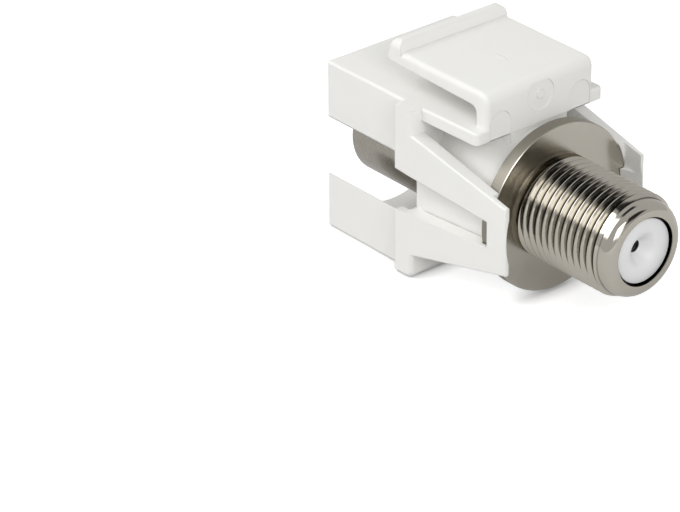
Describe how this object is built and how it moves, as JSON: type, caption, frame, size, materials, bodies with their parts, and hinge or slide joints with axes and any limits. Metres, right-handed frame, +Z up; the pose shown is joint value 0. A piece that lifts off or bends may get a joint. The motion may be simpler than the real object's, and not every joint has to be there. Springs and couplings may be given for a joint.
{
  "type": "snap-in f connector",
  "caption": "White snap-in wall-plate module holding a nickel coaxial adaptor: a threaded F jack at the rear and a tube-and-pin aerial plug at the front.",
  "frame": {"origin": "under the middle of the length, on the plane of the block's underside", "axes": "+Y along the connector's axis from the plug to the threaded jack, +Z up through the latch, +X to the right seen from the plug"},
  "size_m": [0.0168, 0.0328, 0.0206],
  "materials": {
    "white_plastic": "fine satin moulding, off-white",
    "nickel": "brass with bright, slightly warm nickel plating",
    "brown_insulator": "dull dark brown",
    "white_insulator": "smooth white"
  },
  "bodies": {
    "root": {"housing": "white_plastic", "adaptor_body": "nickel", "plug_tube": "nickel", "centre_contact": "nickel", "plug_insulator": "brown_insulator", "jack_insulator": "white_insulator"}
  },
  "joints": []
}
